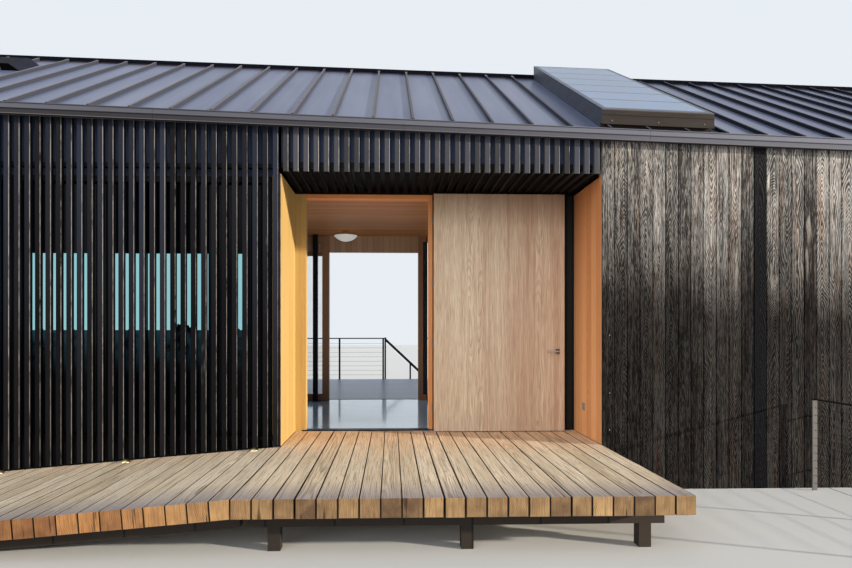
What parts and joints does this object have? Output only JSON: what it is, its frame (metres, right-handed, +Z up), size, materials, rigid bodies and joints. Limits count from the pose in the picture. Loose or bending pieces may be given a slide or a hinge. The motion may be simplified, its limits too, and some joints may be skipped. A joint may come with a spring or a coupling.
{
  "type": "beach house",
  "caption": "Long low beach house with a standing-seam gable roof, dark batten screen, recessed entrance with a wide hinged door, charred board walls, timber platform and rear deck.",
  "frame": {"origin": "at ground level under the middle of the ridge, on the underside of the floor slab", "axes": "+X along the front of the house, to the right as seen from the entrance side; +Y from the front towards the rear deck; +Z up"},
  "size_m": [14.37, 11.05, 5.554],
  "materials": {
    "polished_concrete": "polished, bluish grey",
    "dark_board": "painted near black",
    "dark_frame": "satin near black",
    "clear_glass": "clear, faint green blue",
    "spandrel_panel": "satin dark blue",
    "black_batten": "dark stained, worn arrises",
    "weathered_batten": "weathered grey",
    "cedar": "oiled, warm orange brown",
    "frame_timber": "oiled red brown",
    "black_sill": "matt black",
    "side_panel": "dark, slightly glossy",
    "pale_oak": "oiled pale oak boards",
    "satin_steel": "satin",
    "charred_boards": "charred and brushed",
    "rear_timber": "oiled",
    "black_steel": "satin black",
    "ceiling_timber": "dark oiled boards",
    "opal": "opal white",
    "roof_metal": "satin blue grey, weathered",
    "ridge_metal": "satin near black",
    "fascia_metal": "satin grey",
    "bronze_metal": "satin bronze",
    "skylight_glass": "pale sky reflection",
    "vent_metal": "satin black",
    "deck_timber": "weathered oiled hardwood",
    "rough_timber": "rough sawn"
  },
  "bodies": {
    "house": {"floor_slab": "polished_concrete", "left_plinth": "dark_board", "left_window_frame": "dark_frame", "left_window_glass": "clear_glass", "left_spandrel": "spandrel_panel", "left_screen": "black_batten", "left_reveal": "cedar", "right_reveal": "cedar", "canopy_battens": "weathered_batten", "canopy_box": "spandrel_panel", "door_frame": "frame_timber", "door_threshold": "black_sill", "entry_side_panel": "side_panel", "door_hinges": "satin_steel", "right_front_wall": "charred_boards", "left_gable_wall": "charred_boards", "right_gable_wall": "charred_boards", "rear_wall": "charred_boards", "rear_window_frame": "rear_timber", "rear_window_glass": "clear_glass", "rear_spandrel": "rear_timber", "steel_posts": "black_steel", "ceiling": "ceiling_timber", "ceiling_light": "opal", "front_roof": "roof_metal", "rear_roof": "roof_metal", "ridge_cap": "ridge_metal", "front_fascia": "fascia_metal", "rear_fascia": "fascia_metal", "barge_boards": "ridge_metal", "skylight_box": "bronze_metal", "skylight_glass": "skylight_glass", "roof_vent": "vent_metal", "veranda_frame": "black_steel", "entry_platform": "deck_timber", "entry_ramp": "deck_timber", "entry_bearers": "rough_timber", "rear_deck": "deck_timber", "rear_deck_stumps": "rough_timber", "rear_balustrade": "black_steel", "rear_stair": "deck_timber", "side_fence": "black_steel"},
    "front_door_leaf": {"front_door": "pale_oak", "door_furniture": "satin_steel"},
    "rear_sliding_leaf": {"sliding_door": "rear_timber", "sliding_door_glass": "clear_glass"}
  },
  "joints": [
    {"name": "front_door_hinge", "type": "hinge", "parent": "house", "child": "front_door_leaf", "pos_m": [-0.125, -2.031, 0.45], "axis": [0, 0, 1], "range_deg": [-180, 0]},
    {"name": "rear_door_slide", "type": "slide", "parent": "house", "child": "rear_sliding_leaf", "axis": [1, 0, 0], "range_m": [0, 1.47]}
  ]
}
